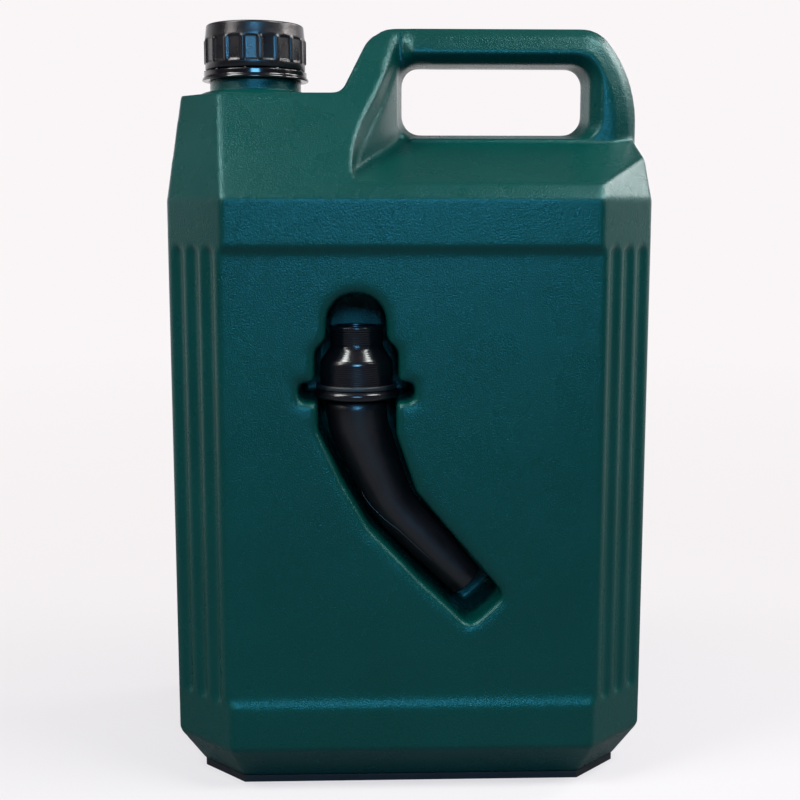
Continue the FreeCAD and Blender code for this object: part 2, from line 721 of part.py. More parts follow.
def spout_tube():
    stations = tube_stations()
    outside = loft_circles(stations, lambda radius: radius, on_axis)
    inside = loft_circles(stations, lambda radius: radius - TUBE_WALL, on_axis)
    foot = V(SPOUT_X, SPOUT_Y, FLANGE_BOTTOM)
    spigot = Part.makeCylinder(SPIGOT_R, SPIGOT_TOP - FLANGE_BOTTOM, foot)
    hollow = Part.makeCylinder(SPIGOT_R - TUBE_WALL, SPIGOT_TOP - FLANGE_BOTTOM, foot)
    place, radius, direction = vent_station()
    angle = math.radians(BREATHER_ANGLE)
    outward = left_of(direction) * math.sin(angle) - V(0, math.cos(angle), 0)
    vent = Part.makeCylinder(VENT_R, radius + 3, place + V(0, SPOUT_Y, 0), outward)
    return outside.fuse(spigot).cut(inside).cut(hollow).cut(vent)


def breather_tube():
    stations = tube_stations()[:-1] + [vent_station()]
    outside = loft_circles(stations, lambda radius: BREATHER_R, against_wall)
    inside = loft_circles(stations, lambda radius: BREATHER_R - BREATHER_WALL, against_wall)
    return outside.cut(inside)


PARTS = {
    "base_foot": base_foot,
    "screw_ring": screw_ring,
    "closing_disc": closing_disc,
    "disc_seal": disc_seal,
    "tamper_band": tamper_band,
    "spout_collar": spout_collar,
    "spout_seal": spout_seal,
    "spout_tube": spout_tube,
    "breather_tube": breather_tube,
}


def main():
    os.makedirs("parts", exist_ok=True)
    shapes = can_nodes()
    shapes.update({name: make() for name, make in PARTS.items()})
    for name, shape in shapes.items():
        box = shape.BoundBox
        print(
            name, "solids", len(shape.Solids), "valid", shape.isValid(), "volume", round(shape.Volume),
            "z", round(box.ZMin, 2), round(box.ZMax, 2),
        )
        shape.exportStep(f"parts/{name}.step")


main()
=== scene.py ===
import bmesh
import bpy
import math
import numpy as np
from mathutils import Matrix, Vector


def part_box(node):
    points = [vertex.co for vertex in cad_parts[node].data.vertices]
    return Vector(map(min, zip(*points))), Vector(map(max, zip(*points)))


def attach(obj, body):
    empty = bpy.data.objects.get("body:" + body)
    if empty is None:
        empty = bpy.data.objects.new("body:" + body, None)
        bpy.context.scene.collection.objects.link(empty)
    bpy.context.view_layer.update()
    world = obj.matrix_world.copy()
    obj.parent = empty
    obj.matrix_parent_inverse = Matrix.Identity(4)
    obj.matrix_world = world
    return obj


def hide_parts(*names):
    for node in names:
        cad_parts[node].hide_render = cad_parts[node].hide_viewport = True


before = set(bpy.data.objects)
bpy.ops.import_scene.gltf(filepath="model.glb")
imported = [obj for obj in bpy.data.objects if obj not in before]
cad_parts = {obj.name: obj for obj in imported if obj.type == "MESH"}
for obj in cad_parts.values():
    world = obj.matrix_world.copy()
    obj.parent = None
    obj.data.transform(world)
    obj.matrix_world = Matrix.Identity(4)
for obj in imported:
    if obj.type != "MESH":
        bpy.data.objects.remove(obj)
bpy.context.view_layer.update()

MM = 0.001
scene = bpy.context.scene


# ---------------------------------------------------------------- places taken from the frame

def box_of(node):
    low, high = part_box(node)
    return Vector(low), Vector(high)


_, can_high = box_of("can_body")
ring_low, ring_high = box_of("screw_ring")
disc_low, disc_high = box_of("closing_disc")
seal_low, seal_high = box_of("disc_seal")
band_low, band_high = box_of("tamper_band")
collar_low, collar_high = box_of("spout_collar")
washer_low, washer_high = box_of("spout_seal")

CAP_AXIS = Vector(((ring_low.x + ring_high.x) / 2, 0, 0))
SPOUT_AXIS = Vector(((collar_low.x + collar_high.x) / 2, (collar_low.y + collar_high.y) / 2, 0))
RING_R = (ring_high.y - ring_low.y) / 2 - 0.5 * MM
BAND_R = (band_high.y - band_low.y) / 2
FLANGE_R = (collar_high.x - collar_low.x) / 2
WASHER_R = (washer_high.x - washer_low.x) / 2
NECK_TOP = seal_low.z
PEDESTAL_Z = 275.0 * MM
NECK_BASE_R = 22.0 * MM
NECK_R = 17.2 * MM
BORE_R = 14.8 * MM
RING_BORE_R = 18.9 * MM
RING_HOLE_R = 13.8 * MM
RING_ROOF = 2.3 * MM
THREAD_START_Z = 289 * MM
THREAD_CREST = 1.45 * MM


# ---------------------------------------------------------------- small mesh helpers

def link(mesh, name):
    piece = bpy.data.objects.new(name, mesh)
    scene.collection.objects.link(piece)
    for polygon in mesh.polygons:
        polygon.use_smooth = True
    return piece


def mesh_from(points, faces, name):
    mesh = bpy.data.meshes.new(name)
    mesh.from_pydata([tuple(p) for p in points], [], faces)
    mesh.update()
    return mesh


def apply_modifiers(piece):
    graph = bpy.context.evaluated_depsgraph_get()
    mesh = bpy.data.meshes.new_from_object(piece.evaluated_get(graph))
    piece.modifiers.clear()
    piece.data = mesh
    return piece


def joined(pieces, name):
    """One new object from several; all the pieces are removed."""
    bm = bmesh.new()
    for piece in pieces:
        bm.from_mesh(piece.data)
    mesh = bpy.data.meshes.new(name)
    bm.to_mesh(mesh)
    bm.free()
    for piece in pieces:
        bpy.data.objects.remove(piece)
    return link(mesh, name)


def ring_faces(rows, columns, closed):
    """Quads between successive rings of points."""
    faces = []
    for i in range(rows if closed else rows - 1):
        j = (i + 1) % rows
        for k in range(columns):
            m = (k + 1) % columns
            faces.append((i * columns + k, i * columns + m, j * columns + m, j * columns + k))
    return faces


def revolve(profile, centre, name, columns=160, shape=None):
    """Closed (radius, height) profile turned about the vertical; shape() may change each radius."""
    points = []
    for radius, height in profile:
        for k in range(columns):
            angle = 2 * math.pi * k / columns
            r = shape(radius, height, angle) if shape else radius
            points.append((centre.x + r * math.cos(angle), centre.y + r * math.sin(angle), height))
    return link(mesh_from(points, ring_faces(len(profile), columns, True), name), name)


def rounded(profile, radius, steps=3):
    """Closed profile with each corner replaced by a small arc."""
    result = []
    for i, corner in enumerate(profile):
        here = Vector(corner)
        before = Vector(profile[i - 1]) - here
        after = Vector(profile[(i + 1) % len(profile)]) - here
        start = here + before.normalized() * min(radius, 0.4 * before.length)
        end = here + after.normalized() * min(radius, 0.4 * after.length)
        for k in range(steps + 1):
            t = k / steps
            result.append(start * (1 - t) ** 2 + here * (2 * t * (1 - t)) + end * t ** 2)
    return [(p.x, p.y) for p in result]


def in_mm(profile):
    return [(r * MM, z * MM) for r, z in profile]


def sweep(path, name, columns=48, caps=True):
    """Tube through (centre, radius, direction) stations."""
    points = []
    for centre, radius, direction in path:
        side = direction.cross(Vector((0, 1, 0))).normalized()
        front = side.cross(direction).normalized()
        for k in range(columns):
            angle = 2 * math.pi * k / columns
            points.append(centre + side * (radius * math.cos(angle)) + front * (radius * math.sin(angle)))
    faces = ring_faces(len(path), columns, not caps)
    if caps:
        faces.append(tuple(range(columns - 1, -1, -1)))
        faces.append(tuple(range((len(path) - 1) * columns, len(path) * columns)))
    return link(mesh_from(points, faces, name), name)


def helix(radius, crest, centre, start_z, turn, name):
    """Screw ridge of one and a half turns that fades in and out at its ends."""
    pitch, turns, steps = 4.0 * MM, 1.5, 180
    root_half, crest_half, bite = 1.1 * MM, 0.45 * MM, 0.3 * MM
    points = []
    for k in range(steps + 1):
        part = k / steps
        fade = min(1.0, 8 * part, 8 * (1 - part))
        angle = turn + 2 * math.pi * turns * part
        z = start_z + pitch * turns * part
        root = radius - math.copysign(bite, crest)
        top = root + (crest + math.copysign(bite, crest)) * max(fade, 0.02)
        for r, dz in ((root, -root_half), (top, -crest_half), (top, crest_half), (root, root_half)):
            points.append((centre.x + r * math.cos(angle), centre.y + r * math.sin(angle), z + dz))
    faces = ring_faces(steps + 1, 4, False) + [(3, 2, 1, 0), tuple(4 * steps + k for k in range(4))]
    return link(mesh_from(points, faces, name), name)


def dress(piece, body, slot, material, *nodes):
    piece.data.materials.clear()
    piece.data.materials.append(material)
    if nodes:
        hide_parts(*nodes)
    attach(piece, body)
    return piece


# ---------------------------------------------------------------- can shell

CAN_NODES = ("can_body", "can_handle", "can_roof", "can_neck", "spout_pocket")
SLIT_X, SLIT_Y, SLIT_Z = 0.5 * MM, 10.9 * MM, 293.9 * MM
SLIT_PLUG = (5 * MM, 4.0 * MM, 8.6 * MM)
VOXEL = 1.0 * MM
CAVITY_TOP_Z = 268 * MM
CAVITY_SHRINK = 0.6 * MM
BORE_LOW_Z = 262 * MM
BORE_HIGH_Z = 280 * MM
OUTSIDE_ROUNDS = 14
CAVITY_ROUNDS = 6


def near_neck(point, radius):
    return math.hypot(point.x - CAP_AXIS.x, point.y) < radius


def voxel_can():
    """The moulded nodes as one even mesh, with the two slits at the left end of the bar closed."""
    bm = bmesh.new()
    for name in CAN_NODES:
        bm.from_mesh(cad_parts[name].data)
    for side in (-1, 1):
        place = Matrix.Translation((SLIT_X, side * SLIT_Y, SLIT_Z))
        bmesh.ops.create_cube(bm, size=1, matrix=place @ Matrix.Diagonal((*SLIT_PLUG, 1)))
    mesh = bpy.data.meshes.new("can_shell")
    bm.to_mesh(mesh)
    bm.free()
    can = link(mesh, "can_shell")
    remesh = can.modifiers.new("remesh", "REMESH")
    remesh.mode = "VOXEL"
    remesh.voxel_size = VOXEL
    return apply_modifiers(can)


def split_skins(mesh):
    """The outside and the cavity as closed meshes, both without the neck."""
    bm = bmesh.new()
    bm.from_mesh(mesh)
    cut = [v for v in bm.verts if v.co.z > PEDESTAL_Z - 5 * MM and near_neck(v.co, NECK_BASE_R - 1 * MM)]
    bmesh.ops.delete(bm, geom=cut, context="VERTS")
    seed = max(bm.verts, key=lambda vert: vert.co.x)
    outside = {seed}
    queue = [seed]
    while queue:
        for edge in queue.pop().link_edges:
            for vert in edge.verts:
                if vert not in outside:
                    outside.add(vert)
                    queue.append(vert)
    bm.verts.index_update()
    chosen = {vert.index for vert in outside}
    inner = bm.copy()
    bmesh.ops.delete(inner, geom=[v for v in inner.verts if v.index in chosen], context="VERTS")
    bmesh.ops.delete(bm, geom=[v for v in bm.verts if v not in outside], context="VERTS")
    skins = []
    for part in (bm, inner):
        bmesh.ops.holes_fill(part, edges=[edge for edge in part.edges if edge.is_boundary], sides=0)
        bmesh.ops.triangulate(part, faces=[face for face in part.faces if len(face.verts) > 4])
        bmesh.ops.recalc_face_normals(part, faces=part.faces)
        skin = bpy.data.meshes.new("skin")
        part.to_mesh(skin)
        part.free()
        skins.append(skin)
    return skins


def smooth_vertices(mesh, rounds, weight_of):
    """Laplacian smoothing of the vertices, weighted by weight_of(points)."""
    count = len(mesh.vertices)
    points = np.empty(count * 3)
    mesh.vertices.foreach_get("co", points)
    points = points.reshape(-1, 3)
    edges = np.empty(len(mesh.edges) * 2, dtype=np.int64)
    mesh.edges.foreach_get("vertices", edges)
    first, second = edges.reshape(-1, 2).T
    degree = np.bincount(first, minlength=count) + np.bincount(second, minlength=count)
    weight = weight_of(points)[:, None]
    for _ in range(rounds):
        total = np.zeros_like(points)
        for axis in range(3):
            total[:, axis] = np.bincount(first, weights=points[second, axis], minlength=count)
            total[:, axis] += np.bincount(second, weights=points[first, axis], minlength=count)
        points += weight * (total / degree[:, None] - points)
    mesh.vertices.foreach_set("co", points.ravel())
    mesh.update()


def softness(points):
    """How far each place gives: most round the pocket mouth and where the bar meets its post."""
    x, y, z = points.T
    flute = (np.abs(x) + np.abs(y) > can_high.x + can_high.y - 27 * MM) & (z > 30 * MM) & (z < 221 * MM)
    mouth = (y < -54 * MM) & (np.abs(x) < 58 * MM) & (z > 55 * MM) & (z < 208 * MM)
    joint = (x > -14 * MM) & (x < 10 * MM) & (z > 284 * MM) & (z < 301 * MM)
    sill = (z > 31 * MM) & (z < 42 * MM) & (np.abs(x) < can_high.x - 24 * MM)
    return np.select([flute, mouth, joint, sill], [0.07, 0.5, 0.6, 0.5], 0.13)


def below(mesh, height):
    """The closed mesh cut off flat at a height."""
    bm = bmesh.new()
    bm.from_mesh(mesh)
    everything = bm.verts[:] + bm.edges[:] + bm.faces[:]
    bmesh.ops.bisect_plane(bm, geom=everything, plane_co=(0, 0, height), plane_no=(0, 0, 1), clear_outer=True)
    bmesh.ops.holes_fill(bm, edges=[edge for edge in bm.edges if edge.is_boundary], sides=0)
    bmesh.ops.triangulate(bm, faces=[face for face in bm.faces if len(face.verts) > 4])
    bm.to_mesh(mesh)
    bm.free()
    return mesh


def build_can():
    can = voxel_can()
    outer, cavity = split_skins(can.data)
    can.data = outer
    smooth_vertices(outer, OUTSIDE_ROUNDS, softness)
    smooth_vertices(cavity, CAVITY_ROUNDS, lambda points: np.full(len(points), 0.4))
    hollow = link(below(cavity, CAVITY_TOP_Z), "hollow")
    shrink = hollow.modifiers.new("shrink", "DISPLACE")
    shrink.mid_level = 0
    shrink.strength = -CAVITY_SHRINK
    thinner = hollow.modifiers.new("thin", "DECIMATE")
    thinner.ratio = 0.1
    apply_modifiers(hollow)
    middle = 0.01 * MM
    profile = [(middle, BORE_LOW_Z), (BORE_R, BORE_LOW_Z), (BORE_R, BORE_HIGH_Z), (middle, BORE_HIGH_Z)]
    bore = revolve(profile, CAP_AXIS, "bore", 64)
    for tool in (hollow, bore):
        cut = can.modifiers.new("cut", "BOOLEAN")
        cut.operation = "DIFFERENCE"
        cut.solver = "MANIFOLD"
        cut.object = tool
    thin = can.modifiers.new("thin", "DECIMATE")
    thin.ratio = 0.5
    apply_modifiers(can)
    bpy.data.objects.remove(hollow)
    bpy.data.objects.remove(bore)
    for polygon in can.data.polygons:
        polygon.use_smooth = True
    return dress(can, "can", "can_plastic", can_plastic(), *CAN_NODES)


def build_neck():
    """Neck finish: base ring, support band, groove, bead, thread and bore."""
    profile = in_mm([
        (14.8, 272.5), (25.0, 273.5), (25.0, 275.1), (23.6, 275.6), (22.2, 276.7), (20.6, 277.2),
        (18.8, 277.3), (18.8, 282.0), (18.4, 282.0), (18.4, 283.6), (19.4, 283.6), (19.4, 285.2),
        (18.2, 285.9), (17.2, 286.7), (17.2, 298.5), (16.7, 299.0), (14.8, 299.0),
    ])
    neck = revolve(rounded(profile, 0.35 * MM), CAP_AXIS, "neck")
    ridge = helix(NECK_R, THREAD_CREST, CAP_AXIS, THREAD_START_Z, 0, "neck_thread")
    return dress(joined([neck, ridge], "neck_finish"), "can", "can_plastic", can_plastic(), *CAN_NODES)


def build_foot():
    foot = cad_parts["base_foot"]
    bevel = foot.modifiers.new("edge", "BEVEL")
    bevel.width = 0.5 * MM
    bevel.segments = 2
    foot.data.materials.clear()
    foot.data.materials.append(black_plastic("foot_black", (0.006, 0.006, 0.007), 0.5, 0.65, 1500, 0.1))


# ---------------------------------------------------------------- cap

RIBS = 18
RIB_HALF = 0.8 * MM
STUBS = 10


def smooth_step(value, low, high):
    t = min(1.0, max(0.0, (value - low) / (high - low)))
    return t * t * (3 - 2 * t)


def ring_shape(radius, height, angle):
    """Ribs and shallow round-cornered panels between them on the outside of the screw ring."""
    if radius < RING_R - 1.2 * MM:
        return radius
    low, high = ring_low.z + 2.7 * MM, ring_high.z - 5.5 * MM
    pitch = 2 * math.pi / RIBS
    arc = abs((angle / pitch + 0.5) % 1 - 0.5) * pitch * RING_R
    half = pitch * RING_R / 2
    across = half - arc
    corner = 1.1 * MM
    dx = across - (half - RIB_HALF - corner)
    dz = height - (high - corner)
    if dx > 0 and dz > 0:
        edge = math.hypot(dx, dz) - corner
    else:
        edge = max(dx, dz) - corner
    edge = max(edge, low - height)
    flat = (RING_R - 0.2 * MM) * math.cos(0.78 * pitch / 2) / math.cos(across / RING_R)
    recess = (RING_R - flat) * (1 - smooth_step(edge, -0.7 * MM, 0))
    rib = 0.5 * MM * (1 - smooth_step(arc, RIB_HALF - 0.35 * MM, RIB_HALF))
    rib *= smooth_step(height, low - 0.2 * MM, low + 0.3 * MM)
    rib *= 1 - smooth_step(height, high - 0.8 * MM, high)
    return radius - recess + rib


def build_ring():
    low, high = ring_low.z, ring_high.z
    outer = [(RING_R, low + 0.4 * MM), (RING_R, low + 2.3 * MM)]
    outer += [(RING_R, low + 2.5 * MM + k * 0.4 * MM) for k in range(27)]
    outer += [(RING_R - 0.15 * MM, high - 4.6 * MM), (RING_R - 0.4 * MM, high - 2.2 * MM)]
    crown = 0.9 * MM
    for k in range(7):
        turn = math.pi / 2 * k / 6
        outer.append((RING_R - 0.55 * MM - crown * (1 - math.cos(turn)), high - crown * (1 - math.sin(turn))))
    edge, roof = 0.3 * MM, high - RING_ROOF
    inside = [(RING_HOLE_R + edge, high), (RING_HOLE_R, high - edge), (RING_HOLE_R, roof),
              (RING_BORE_R, roof), (RING_BORE_R, low), (RING_R - 0.4 * MM, low)]
    ring = revolve(outer + inside, CAP_AXIS, "ring", RIBS * 30, ring_shape)
    ridge = helix(RING_BORE_R, -THREAD_CREST, CAP_AXIS, THREAD_START_Z, math.pi, "ring_thread")
    return dress(joined([ring, ridge], "cap_ring"), "ring", "cap_plastic", cap_plastic(), "screw_ring")


def build_disc():
    top, low = disc_high.z, disc_low.z
    flange = seal_high.z
    roof = ring_high.z - RING_ROOF
    dish = top - 0.35 * MM
    profile = [
        (0.02 * MM, flange), (13.1 * MM, flange), (13.1 * MM, low), (14.1 * MM, low),
        (14.5 * MM, low + 1 * MM), (14.5 * MM, flange), (17.6 * MM, flange), (17.6 * MM, roof),
        (13.6 * MM, roof), (13.6 * MM, top - 0.6 * MM), (13.0 * MM, top), (11.2 * MM, top),
        (10.9 * MM, dish), (4.2 * MM, dish), (3.9 * MM, top), (0.02 * MM, top),
    ]
    disc = revolve(rounded(profile, 0.25 * MM), CAP_AXIS, "cap_disc")
    return dress(disc, "lid", "cap_plastic", cap_plastic(), "closing_disc")


def build_seal():
    inner = BORE_R - 0.3 * MM
    profile = [(inner, seal_low.z), (NECK_R, seal_low.z), (NECK_R, seal_high.z), (inner, seal_high.z)]
    seal = revolve(rounded(profile, 0.2 * MM), CAP_AXIS, "cap_liner")
    return dress(seal, "lid", "seal_foam", seal_foam(), "disc_seal")


def build_band():
    """Tamper band with its flared lip and the stubs of its broken bridges."""
    low, high = band_low.z, band_high.z
    flare, wall = BAND_R, BAND_R - 0.7 * MM
    profile = [
        (18.65 * MM, low + 0.3 * MM), (19.4 * MM, low + 0.3 * MM), (19.4 * MM, low), (flare, low),
        (flare, low + 0.7 * MM), (wall, low + 1.6 * MM), (wall, high), (19.75 * MM, high),
        (19.75 * MM, low + 1.5 * MM), (18.65 * MM, low + 1.5 * MM),
    ]
    band = revolve(rounded(profile, 0.35 * MM, 4), CAP_AXIS, "band")
    stubs = [band]
    axis = Matrix.Translation((CAP_AXIS.x, 0, high + 0.1 * MM))
    outward = Matrix.Translation((wall - 0.5 * MM, 0, 0))
    stub_size = Matrix.Diagonal((0.7 * MM, 0.9 * MM, 0.6 * MM, 1))
    for k in range(STUBS):
        angle = 2 * math.pi * (k + 0.3) / STUBS
        stub = bpy.data.meshes.new("stub")
        bm = bmesh.new()
        place = axis @ Matrix.Rotation(angle, 4, "Z") @ outward @ stub_size
        bmesh.ops.create_cube(bm, size=1, matrix=place)
        bm.to_mesh(stub)
        bm.free()
        stubs.append(link(stub, "stub"))
    return dress(joined(stubs, "tear_band"), "band", "band_plastic", band_plastic(), "tamper_band")


# ---------------------------------------------------------------- spout

TUBE_POINTS = [Vector((SPOUT_AXIS.x, 0, collar_low.z)), Vector((SPOUT_AXIS.x, 0, 146.4 * MM)),
               Vector((-8.0 * MM, 0, 113.4 * MM)), Vector((22.4 * MM, 0, 81.4 * MM))]
TUBE_RADII = [12.1 * MM, 11.8 * MM, 9.0 * MM, 7.2 * MM]
BEND_REACH = [5.5 * MM, 9.0 * MM]
TUBE_WALL = 1.6 * MM
BREATHER_R = 2.0 * MM
BREATHER_ANGLE = math.radians(35)
SPIGOT_TOP_Z = 168 * MM
SPIGOT_R = 11.2 * MM
SEAM_TOP_Z = 136 * MM


def tube_path(bend_steps=14, straight_steps=6):
    """Stations (centre, radius, direction) of the spout tube from the collar to its tip."""
    runs = [b - a for a, b in zip(TUBE_POINTS, TUBE_POINTS[1:])]
    stations = [(TUBE_POINTS[0], TUBE_RADII[0], runs[0].normalized())]
    for i in (1, 2):
        middle, radius, reach = TUBE_POINTS[i], TUBE_RADII[i], BEND_REACH[i - 1]
        before, after = runs[i - 1], runs[i]
        start = middle - before.normalized() * reach
        end = middle + after.normalized() * reach
        start_r = radius + (TUBE_RADII[i - 1] - radius) * reach / before.length
        end_r = radius + (TUBE_RADII[i + 1] - radius) * reach / after.length
        for k in range(bend_steps + 1):
            t = k / bend_steps
            place = start * (1 - t) ** 2 + middle * (2 * t * (1 - t)) + end * t ** 2
            width = start_r * (1 - t) ** 2 + radius * (2 * t * (1 - t)) + end_r * t ** 2
            direction = (middle - start) * (1 - t) + (end - middle) * t
            stations.append((place, width, direction.normalized()))
    place, width, direction = stations[-1]
    for k in range(1, straight_steps + 1):
        t = k / straight_steps
        stations.append((place.lerp(TUBE_POINTS[3], t), width + (TUBE_RADII[3] - width) * t, direction))
    return [(place + Vector((0, SPOUT_AXIS.y, 0)), width, direction) for place, width, direction in stations]


def wall_point(station, angle, inset):
    """Point at a radius less an inset, turned from the front towards the left of the tube."""
    centre, radius, direction = station
    left = Vector((0, 1, 0)).cross(direction).normalized()
    outward = left * math.sin(angle) - Vector((0, 1, 0)) * math.cos(angle)
    return centre + outward * (radius - inset)


def build_tube():
    stations = tube_path()
    centre, radius, direction = stations[-1]
    tip = [
        (centre - direction * 0.5 * MM, radius, direction),
        (centre - direction * 0.15 * MM, radius - 0.15 * MM, direction),
        (centre, radius - 0.5 * MM, direction),
        (centre, radius - TUBE_WALL + 0.2 * MM, direction),
    ]
    inner = [(place, width - TUBE_WALL, way) for place, width, way in reversed(stations)]
    tube = sweep(stations[:-1] + tip + inner, "tube", 72, caps=False)
    low, bore = collar_low.z - 1 * MM, SPIGOT_R - TUBE_WALL
    spigot = [(SPIGOT_R, low), (SPIGOT_R, SPIGOT_TOP_Z), (bore, SPIGOT_TOP_Z), (bore, low)]
    pieces = [tube, revolve(spigot, SPOUT_AXIS, "spigot", 64)]
    seam = []
    first, last = math.radians(70), math.radians(28)
    length = len(stations)
    for k, station in enumerate(stations[:-3]):
        if station[0].z > SEAM_TOP_Z:
            continue
        share = k / (length - 4)
        angle = first + (last - first) * smooth_step(share, 0.35, 1.0)
        seam.append((wall_point(station, angle, 0.05 * MM), 0.22 * MM, station[2]))
    pieces.append(sweep(seam, "seam", 8))
    return dress(joined(pieces, "spout_hose"), "spout", "tube_plastic", tube_plastic(), "spout_tube")


def build_breather():
    stations = tube_path()
    path = [(wall_point(station, BREATHER_ANGLE, TUBE_WALL + BREATHER_R + 0.05 * MM), BREATHER_R, station[2])
            for station in stations[:-2]]
    inner = [(place, BREATHER_R - 0.5 * MM, way) for place, _, way in reversed(path)]
    breather = sweep(path + inner, "vent_tube", 20, caps=False)
    material = black_plastic("breather_black", (0.02, 0.02, 0.022), 0.3, 0.4, 1500, 0.03)
    return dress(breather, "spout", "breather_plastic", material, "breather_tube")


def build_collar():
    base, top = collar_low.z, collar_high.z
    profile = [
        (SPIGOT_R, base), (FLANGE_R - 0.6 * MM, base), (FLANGE_R, base + 0.7 * MM),
        (FLANGE_R, base + 2.2 * MM), (FLANGE_R - 0.6 * MM, base + 3.0 * MM),
        (15.4 * MM, base + 3.6 * MM), (14.2 * MM, base + 3.6 * MM),
        (14.2 * MM, 170.2 * MM), (13.6 * MM, 171.6 * MM), (10.6 * MM, 175.8 * MM), (10.1 * MM, 177.2 * MM),
        (10.1 * MM, top - 2.2 * MM), (10.8 * MM, top - 1.8 * MM), (10.8 * MM, top - 0.4 * MM),
        (10.4 * MM, top), (8.6 * MM, top), (8.6 * MM, SPIGOT_TOP_Z), (SPIGOT_R, SPIGOT_TOP_Z),
    ]
    collar = revolve(rounded(profile, 0.5 * MM, 5), SPOUT_AXIS, "collar", 192)
    return dress(collar, "spout", "collar_plastic", collar_plastic(), "spout_collar")


def build_washer():
    low, high = washer_low.z, washer_high.z
    profile = [(14.2 * MM, low), (WASHER_R, low), (WASHER_R, high), (14.2 * MM, high)]
    washer = revolve(rounded(profile, 0.6 * MM, 4), SPOUT_AXIS, "washer", 160)
    material = black_plastic("washer_rubber", (0.012, 0.012, 0.013), 0.35, 0.5, 1500, 0.04)
    return dress(washer, "spout", "seal_rubber", material, "spout_seal")


# ---------------------------------------------------------------- materials

class Paint:
    """Short spelling for building a node tree."""

    def __init__(self, name):
        self.material = bpy.data.materials.new(name)
        self.material.use_nodes = True
        self.tree = self.material.node_tree
        self.shader = self.tree.nodes["Principled BSDF"]

    def add(self, kind, **values):
        node = self.tree.nodes.new(kind)
        for key, value in values.items():
            if hasattr(node, key):
                setattr(node, key, value)
            else:
                node.inputs[key.replace("_", " ")].default_value = value
        return node

    def join(self, output, target):
        self.tree.links.new(output, target)

    def place(self):
        return self.add("ShaderNodeTexCoord").outputs["Object"]

    def noise(self, scale, detail=2.0, roughness=0.5):
        node = self.add("ShaderNodeTexNoise", Scale=scale, Detail=detail, Roughness=roughness)
        self.join(self.place(), node.inputs["Vector"])
        return node.outputs["Fac"]

    def remap(self, source, low, high, to_low, to_high):
        node = self.add("ShaderNodeMapRange")
        self.join(source, node.inputs["Value"])
        for key, value in zip(("From Min", "From Max", "To Min", "To Max"), (low, high, to_low, to_high)):
            node.inputs[key].default_value = value
        return node.outputs["Result"]

    def ramp(self, source, stops):
        node = self.add("ShaderNodeValToRGB")
        self.join(source, node.inputs["Fac"])
        elements = node.color_ramp.elements
        while len(elements) < len(stops):
            elements.new(0.5)
        for element, (position, colour) in zip(elements, stops):
            element.position = position
            element.color = (*colour, 1)
        return node.outputs["Color"]

    def mix(self, factor, first, second):
        node = self.add("ShaderNodeMix", data_type="RGBA")
        self.join(factor, node.inputs["Factor"])
        for socket, value in (("A", first), ("B", second)):
            target = [s for s in node.inputs if s.name == socket and s.type == "RGBA"][0]
            if isinstance(value, tuple):
                target.default_value = (*value, 1)
            else:
                self.join(value, target)
        return [s for s in node.outputs if s.type == "RGBA"][0]

    def bump(self, height, distance, strength, normal=None):
        node = self.add("ShaderNodeBump", Distance=distance, Strength=strength)
        self.join(height, node.inputs["Height"])
        if normal:
            self.join(normal, node.inputs["Normal"])
        return node.outputs["Normal"]


def painted_edge_highlight(paint, colour, lighter, radius, amount):
    """Colour with a painted highlight: a lighter tone on the edges, where the bevel normal turns away from
    the face.
    """
    bevel = paint.add("ShaderNodeBevel", samples=4, Radius=radius)
    geometry = paint.add("ShaderNodeNewGeometry")
    dot = paint.add("ShaderNodeVectorMath", operation="DOT_PRODUCT")
    paint.join(bevel.outputs["Normal"], dot.inputs[0])
    paint.join(geometry.outputs["Normal"], dot.inputs[1])
    # share of the painted edge highlight, growing as the bevel normal turns from the face normal
    highlight_share = paint.remap(dot.outputs["Value"], 0.995, 0.9, 0.0, amount)
    return paint.mix(highlight_share, colour, lighter)


def can_plastic():
    """Dark green moulded polyethylene with a pebble grain."""
    m = Paint("green_polyethylene")
    colour = m.ramp(m.noise(22, 4.0), [(0.3, (0.0002, 0.032, 0.0255)), (0.7, (0.0003, 0.038, 0.0305))])
    # painted highlight: the edges of the green plastic are lightened to a pale teal
    colour = painted_edge_highlight(m, colour, (0.003, 0.075, 0.07), 1.2 * MM, 0.5)
    m.join(colour, m.shader.inputs["Base Color"])
    m.join(m.remap(m.noise(60, 3.0), 0.3, 0.7, 0.24, 0.31), m.shader.inputs["Roughness"])
    pebble = m.bump(m.noise(1700, 2.0, 0.6), 0.26 * MM, 0.7)
    m.join(m.bump(m.noise(55, 2.0), 0.4 * MM, 0.15, pebble), m.shader.inputs["Normal"])
    m.shader.inputs["Specular IOR Level"].default_value = 0.36
    m.shader.inputs["Specular Tint"].default_value = (0.5, 1.0, 1.0, 1)
    return m.material


def black_plastic(name, colour, rough_low, rough_high, grain, grain_depth):
    m = Paint(name)
    lighter = tuple(1.5 * c + 0.001 for c in colour)
    tone = m.ramp(m.noise(120, 3.0), [(0.35, colour), (0.7, lighter)])
    # painted highlight: the edges of the black plastic are lightened to grey
    m.join(painted_edge_highlight(m, tone, (0.05, 0.05, 0.055), 0.5 * MM, 0.4), m.shader.inputs["Base Color"])
    m.join(m.remap(m.noise(250, 3.0), 0.3, 0.7, rough_low, rough_high), m.shader.inputs["Roughness"])
    m.join(m.bump(m.noise(grain, 2.0), grain_depth * MM, 0.5), m.shader.inputs["Normal"])
    return m.material


def cap_plastic():
    return black_plastic("cap_black", (0.0035, 0.003, 0.004), 0.26, 0.34, 1700, 0.10)


def band_plastic():
    return black_plastic("band_black", (0.0035, 0.003, 0.0035), 0.12, 0.18, 900, 0.02)


def tube_plastic():
    return black_plastic("tube_black", (0.005, 0.0032, 0.0035), 0.33, 0.4, 1300, 0.03)


